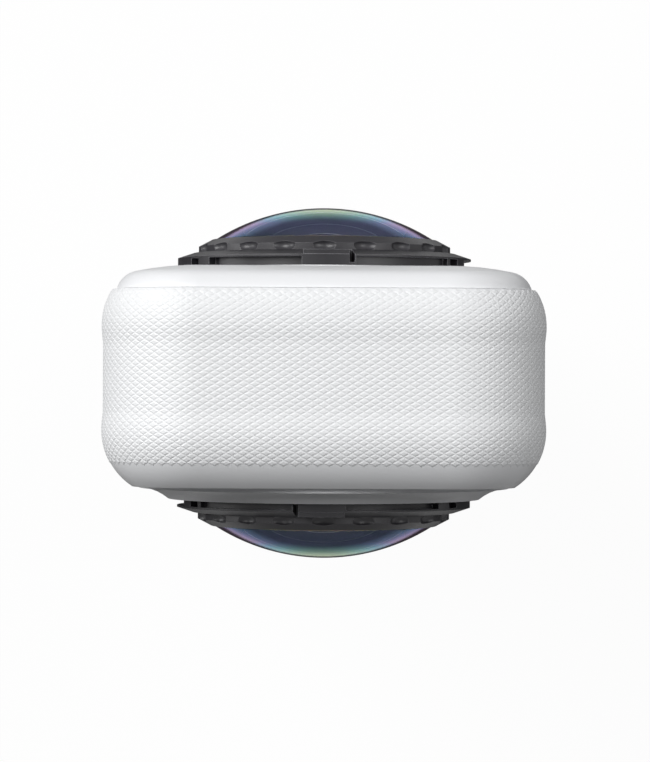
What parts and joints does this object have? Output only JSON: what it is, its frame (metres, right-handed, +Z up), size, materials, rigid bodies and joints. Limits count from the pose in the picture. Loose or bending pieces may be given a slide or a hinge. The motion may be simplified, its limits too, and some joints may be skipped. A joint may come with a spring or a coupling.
{
  "type": "360 degree camera",
  "caption": "Slim upright camera with opposed fisheye lenses in twist rings, a textured grip band, a rear screen, side keys, hinged doors and a threaded base.",
  "frame": {"origin": "mouth of the tripod thread, in the middle of the base", "axes": "+X across the width, +Y towards the front lens, +Z up along the body"},
  "size_m": [0.046, 0.0376, 0.1245],
  "materials": {
    "white_shell": "fine matt moulding",
    "grey_shell": "satin moulding",
    "key_plastic": "satin moulding",
    "black_plastic": "satin moulding",
    "lens_glass": "coated and polished",
    "screen_glass": "polished",
    "rubber": "matt",
    "chassis_metal": "stamped",
    "steel": "plain",
    "contact_metal": "gold plated",
    "circuit_board": "solder mask",
    "battery_wrap": "printed film",
    "display": "gloss",
    "lamp": "translucent"
  },
  "bodies": {
    "housing": {"grip_frame": "white_shell", "front_cover": "white_shell", "rear_cover": "grey_shell", "base_plate": "grey_shell", "front_mount_ring": "black_plastic", "rear_mount_ring": "black_plastic", "front_lens_barrel": "black_plastic", "rear_lens_barrel": "black_plastic", "battery_bay": "black_plastic", "speaker": "black_plastic", "front_inner_element": "lens_glass", "rear_inner_element": "lens_glass", "screen_glass": "screen_glass", "cover_gasket": "rubber", "inner_chassis": "chassis_metal", "chassis_screws": "steel", "base_screws": "steel", "tripod_insert": "steel", "usb_hinge_pin": "steel", "battery_hinge_pin": "steel", "usb_port": "steel", "card_reader": "steel", "key_switches": "steel", "microphone_meshes": "steel", "battery_contacts": "contact_metal", "main_board": "circuit_board", "key_board": "circuit_board", "side_key_board": "circuit_board", "usb_board": "circuit_board", "front_sensor_board": "circuit_board", "rear_sensor_board": "circuit_board", "battery_pack": "battery_wrap", "memory_card": "battery_wrap", "display_panel": "display", "front_image_sensor": "display", "rear_image_sensor": "display", "status_lamp": "lamp"},
    "front_lens": {"front_lens_ring": "black_plastic", "front_dome": "lens_glass", "front_lens_seal": "rubber"},
    "rear_lens": {"rear_lens_ring": "black_plastic", "rear_dome": "lens_glass", "rear_lens_seal": "rubber"},
    "shutter_key": {"shutter_button": "key_plastic"},
    "lens_key": {"lens_button": "key_plastic"},
    "power_key": {"power_button": "key_plastic"},
    "mode_key": {"mode_button": "key_plastic"},
    "port_flap": {"usb_door": "white_shell", "usb_door_seal": "rubber"},
    "battery_flap": {"battery_door": "white_shell", "battery_door_seal": "rubber"},
    "latch_slider": {"battery_latch": "black_plastic"}
  },
  "joints": [
    {"name": "front_lens_twist", "type": "hinge", "parent": "housing", "child": "front_lens", "pos_m": [0, 0.0122, 0.1005], "axis": [0, 1, 0], "range_deg": [0, 40]},
    {"name": "rear_lens_twist", "type": "hinge", "parent": "housing", "child": "rear_lens", "pos_m": [0, -0.0122, 0.1005], "axis": [0, -1, 0], "range_deg": [0, 40]},
    {"name": "shutter_press", "type": "slide", "parent": "housing", "child": "shutter_key", "axis": [0, 1, 0], "range_m": [0, 0.0005], "stiffness_N_per_m": 800},
    {"name": "lens_key_press", "type": "slide", "parent": "housing", "child": "lens_key", "axis": [0, 1, 0], "range_m": [0, 0.0005], "stiffness_N_per_m": 800},
    {"name": "power_press", "type": "slide", "parent": "housing", "child": "power_key", "axis": [-1, 0, 0], "range_m": [0, 0.0005], "stiffness_N_per_m": 800},
    {"name": "mode_press", "type": "slide", "parent": "housing", "child": "mode_key", "axis": [-1, 0, 0], "range_m": [0, 0.0005], "stiffness_N_per_m": 800},
    {"name": "port_flap_hinge", "type": "hinge", "parent": "housing", "child": "port_flap", "pos_m": [0.02175, 0.0005, 0.0248], "axis": [0, 1, 0], "range_deg": [0, 95]},
    {"name": "battery_flap_hinge", "type": "hinge", "parent": "housing", "child": "battery_flap", "pos_m": [-0.02175, 0.0005, 0.0151], "axis": [0, -1, 0], "range_deg": [0, 95]},
    {"name": "latch_slide", "type": "slide", "parent": "battery_flap", "child": "latch_slider", "axis": [0, 0, 1], "range_m": [0, 0.002]}
  ]
}
